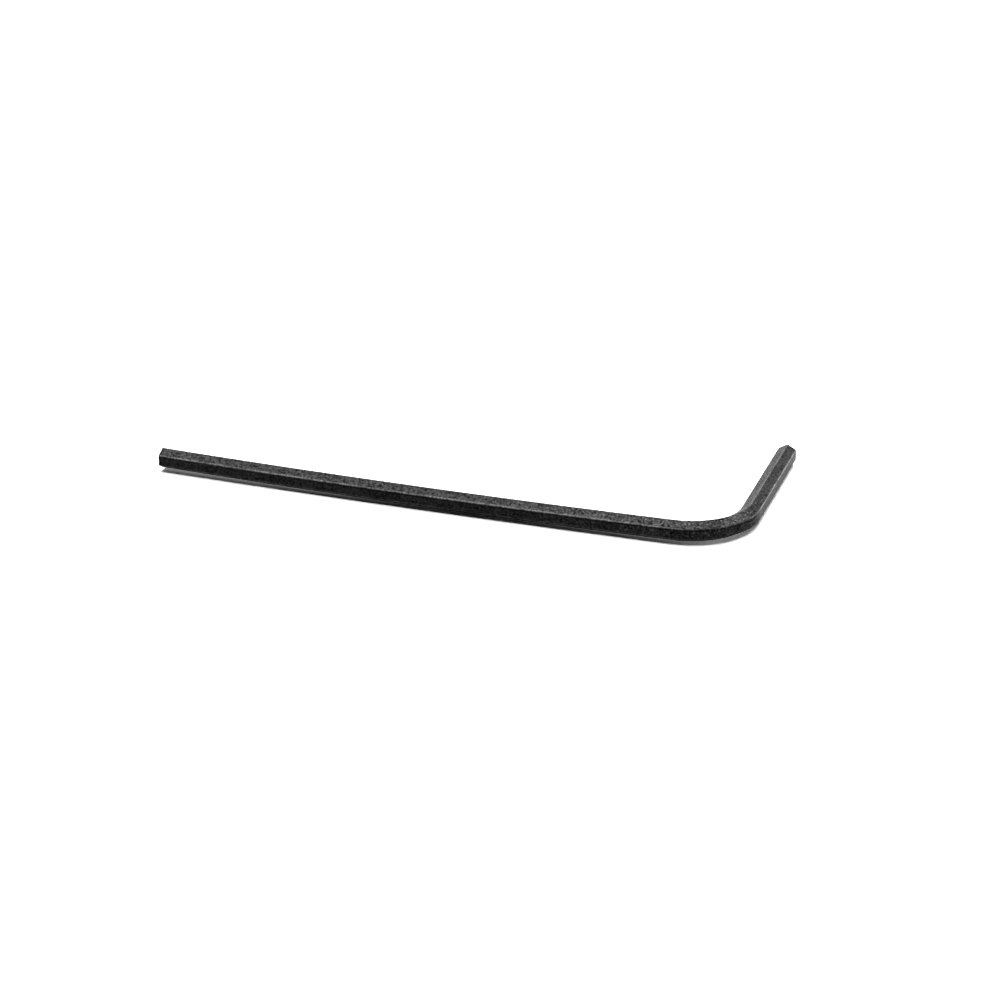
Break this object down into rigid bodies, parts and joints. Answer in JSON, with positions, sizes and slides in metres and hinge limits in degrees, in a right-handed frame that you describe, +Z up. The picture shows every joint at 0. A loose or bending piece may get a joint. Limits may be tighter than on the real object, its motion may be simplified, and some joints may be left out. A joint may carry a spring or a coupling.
{
  "type": "hex key",
  "caption": "L-shaped hexagonal key bent from a single bar, with square-cut ends and a very slightly bowed long arm, lying flat.",
  "frame": {"origin": "middle of the key's footprint, on the surface that it lies on", "axes": "+X along the long arm towards the bend, +Y along the short arm towards its free end, +Z up"},
  "size_m": [0.0412, 0.0159, 0.0015],
  "materials": {
    "blackened_steel": "black oxide, satin with a fine grain, worn a little brighter along the corners"
  },
  "bodies": {
    "root": {"hex_key": "blackened_steel"}
  },
  "joints": []
}
